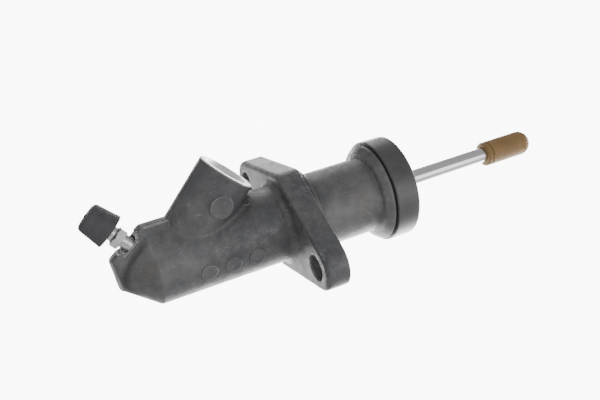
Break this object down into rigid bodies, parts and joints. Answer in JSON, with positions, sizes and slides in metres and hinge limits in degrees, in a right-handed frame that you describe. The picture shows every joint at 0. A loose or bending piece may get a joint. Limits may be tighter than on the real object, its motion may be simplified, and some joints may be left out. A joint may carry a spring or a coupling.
{
  "type": "clutch slave cylinder",
  "caption": "Hydraulic clutch slave cylinder with a flanged casting, angled inlet boss, capped bleed screw, sprung piston and a push rod with a plastic tip.",
  "frame": {"origin": "on the bore axis, in the plane of the flange's mounting face", "axes": "+X along the bore towards the push rod's tip, +Z to the side of the inlet boss and the bleed screw"},
  "size_m": [0.1861, 0.0768, 0.0536],
  "materials": {
    "cast_aluminium": "as cast, dull dark grey",
    "black_plastic": "smooth, satin",
    "boot_rubber": "moulded, dull",
    "spring_steel": "oiled",
    "washer_steel": "plated",
    "piston_aluminium": "turned",
    "seal_rubber": "smooth",
    "seat_plastic": "moulded",
    "plated_steel": "bright plated",
    "tan_plastic": "moulded, satin",
    "zinc_steel": "zinc plated",
    "cap_rubber": "moulded, dull"
  },
  "bodies": {
    "housing": {"cylinder_body": "cast_aluminium", "end_cap": "black_plastic", "dust_boot": "boot_rubber", "snap_ring": "spring_steel", "stop_washer": "washer_steel", "preload_spring": "spring_steel"},
    "piston_group": {"piston": "piston_aluminium", "rod_clip": "spring_steel", "secondary_seal": "seal_rubber", "seal_washer": "washer_steel", "primary_cup": "seal_rubber", "spring_seat": "seat_plastic"},
    "rod": {"pushrod": "plated_steel", "pushrod_tip": "tan_plastic"},
    "bleeder": {"bleed_screw": "zinc_steel"},
    "cap": {"bleed_cap": "cap_rubber"}
  },
  "joints": [
    {"name": "piston_stroke", "type": "slide", "parent": "housing", "child": "piston_group", "axis": [1, 0, 0], "range_m": [-0.018, 0], "stiffness_N_per_m": 250, "springref_m": 0.035, "deforming": ["preload_spring"]},
    {"name": "rod_tilt", "type": "hinge", "parent": "piston_group", "child": "rod", "pos_m": [0.02385, 0, 0], "axis": [0, 1, 0], "range_deg": [-1.5, 1.5]},
    {"name": "bleed_turn", "type": "hinge", "parent": "housing", "child": "bleeder", "pos_m": [-0.06431, 0, 0.01036], "axis": [-0.6275, 0.3156, 0.7118], "range_deg": [0, 360]},
    {"name": "cap_pull", "type": "slide", "parent": "bleeder", "child": "cap", "axis": [-0.6275, 0.3156, 0.7118], "range_m": [0, 0.014]}
  ]
}
